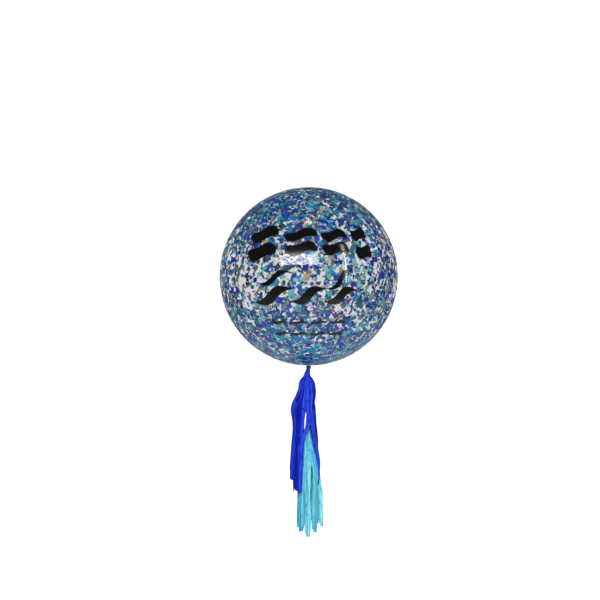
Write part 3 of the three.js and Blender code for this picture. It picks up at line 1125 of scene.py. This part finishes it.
def make_world():
    """The room: dim where it lights the balloon, white where it is seen past the paper's edge."""
    world = bpy.data.worlds.new("studio")
    world.use_nodes = True
    tree = world.node_tree
    background = next(n for n in tree.nodes if n.type == "BACKGROUND")
    path = tree.nodes.new("ShaderNodeLightPath")
    tone = tree.nodes.new("ShaderNodeMix")
    tone.data_type = "RGBA"
    tone.inputs[MIX_FIRST].default_value = (0.12, 0.12, 0.12, 1)
    tone.inputs[MIX_SECOND].default_value = (1.0, 1.0, 0.995, 1)
    tree.links.new(path.outputs["Is Camera Ray"], tone.inputs[MIX_FACTOR])
    tree.links.new(tone.outputs[MIX_RESULT], background.inputs["Color"])
    bpy.context.scene.world = world


def make_backdrop(settings):
    """Seamless paper: a floor that sweeps up into a back wall."""
    deselect()
    bpy.ops.mesh.primitive_plane_add(size=10, location=(0, -1.4, settings.floor))
    paper = bpy.context.object
    bpy.ops.object.transform_apply(location=True, rotation=False, scale=False)
    bpy.ops.object.mode_set(mode="EDIT")
    bpy.ops.mesh.select_all(action="DESELECT")
    bpy.ops.object.mode_set(mode="OBJECT")
    back = max(v.co.y for v in paper.data.vertices)
    for edge in paper.data.edges:
        edge.select = all(paper.data.vertices[i].co.y > back - 1e-4 for i in edge.vertices)
    bpy.ops.object.mode_set(mode="EDIT")
    steps, sweep = 16, 1.2
    for k in range(steps):
        a0, a1 = (math.pi / 2 * f / steps for f in (k, k + 1))
        move = (0, sweep * (math.sin(a1) - math.sin(a0)), sweep * (math.cos(a0) - math.cos(a1)))
        bpy.ops.mesh.extrude_region_move(TRANSFORM_OT_translate={"value": move})
    bpy.ops.mesh.extrude_region_move(TRANSFORM_OT_translate={"value": (0, 0, 5)})
    bpy.ops.object.mode_set(mode="OBJECT")
    paper.name = "backdrop"
    paper.data.materials.append(stage_finish(settings))
    bpy.ops.object.shade_smooth()


def make_stage(settings):
    make_backdrop(settings)
    for name, light in LIGHTS.items():
        area_light(name, *light)
    make_world()
    bpy.context.scene.view_settings.view_transform = "Standard"
    deselect()
    bpy.ops.object.camera_add(
        location=(-0.0272, -settings.distance, 0.208), rotation=(math.pi / 2, 0, 0)
    )
    camera = bpy.context.object
    camera.name = "camera"
    camera.data.lens = 41.8
    camera.data.clip_start = 0.05
    bpy.context.scene.camera = camera
    deselect()


# The add-on


class BALLOON_OT_film(bpy.types.Operator):
    """Make the ball of clear film with its gathered neck"""

    bl_idname = "balloon.film"
    bl_label = "Film"

    def execute(self, context):
        make_film(context.scene.balloon_film)
        return {"FINISHED"}


class BALLOON_OT_confetti(bpy.types.Operator):
    """Make the confetti that is sealed in the ball"""

    bl_idname = "balloon.confetti"
    bl_label = "Confetti"

    def execute(self, context):
        make_confetti(context.scene.balloon_confetti, context.scene.balloon_film)
        return {"FINISHED"}


class BALLOON_OT_strokes(bpy.types.Operator):
    """Make the rows of vinyl strokes on the ball's front"""

    bl_idname = "balloon.strokes"
    bl_label = "Vinyl strokes"

    def execute(self, context):
        make_strokes(context.scene.balloon_strokes)
        return {"FINISHED"}


class BALLOON_OT_royal_tassel(bpy.types.Operator):
    """Make the upper tassel of royal blue tissue"""

    bl_idname = "balloon.royal_tassel"
    bl_label = "Royal tassel"

    def execute(self, context):
        make_royal_tassel(context.scene.balloon_tail)
        return {"FINISHED"}


class BALLOON_OT_aqua_tassel(bpy.types.Operator):
    """Make the lower tassel of aqua tissue, with its loop"""

    bl_idname = "balloon.aqua_tassel"
    bl_label = "Aqua tassel"

    def execute(self, context):
        make_aqua_tassel(context.scene.balloon_tail)
        return {"FINISHED"}


class BALLOON_OT_ribbon(bpy.types.Operator):
    """Make the ribbon that ties the neck and carries the lower tassel"""

    bl_idname = "balloon.ribbon"
    bl_label = "Ribbon"

    def execute(self, context):
        make_ribbon(context.scene.balloon_tail)
        return {"FINISHED"}


class BALLOON_OT_stage(bpy.types.Operator):
    """Make the camera, the lights and the seamless paper"""

    bl_idname = "balloon.stage"
    bl_label = "Stage"

    def execute(self, context):
        make_stage(context.scene.balloon_stage)
        return {"FINISHED"}


OPERATORS = (
    BALLOON_OT_stage,
    BALLOON_OT_film,
    BALLOON_OT_confetti,
    BALLOON_OT_strokes,
    BALLOON_OT_royal_tassel,
    BALLOON_OT_aqua_tassel,
    BALLOON_OT_ribbon,
)
SETTINGS = {
    "balloon_film": FilmSettings,
    "balloon_confetti": ConfettiSettings,
    "balloon_strokes": StrokeSettings,
    "balloon_tail": TailSettings,
    "balloon_stage": StageSettings,
}


class BALLOON_PT_parts(bpy.types.Panel):
    """The balloon's pieces, each with the sizes and colours that it is made from"""

    bl_idname = "BALLOON_PT_parts"
    bl_label = "Bubble balloon"
    bl_space_type = "VIEW_3D"
    bl_region_type = "UI"
    bl_category = "Balloon"

    def draw(self, context):
        for operator in OPERATORS:
            self.layout.operator(operator.bl_idname)
        for name, group in SETTINGS.items():
            box = self.layout.box()
            for prop in group.__annotations__:
                box.prop(getattr(context.scene, name), prop)


def register():
    for group in (*SETTINGS.values(), *OPERATORS, BALLOON_PT_parts):
        bpy.utils.register_class(group)
    for name, group in SETTINGS.items():
        setattr(bpy.types.Scene, name, bpy.props.PointerProperty(type=group))


def unregister():
    for name in SETTINGS:
        delattr(bpy.types.Scene, name)
    for group in (BALLOON_PT_parts, *OPERATORS, *SETTINGS.values()):
        bpy.utils.unregister_class(group)


def main():
    register()
    bpy.ops.balloon.stage()
    bpy.ops.balloon.film()
    bpy.ops.balloon.confetti()
    bpy.ops.balloon.strokes()
    bpy.ops.balloon.royal_tassel()
    bpy.ops.balloon.aqua_tassel()
    bpy.ops.balloon.ribbon()


if __name__ == "__main__":
    main()
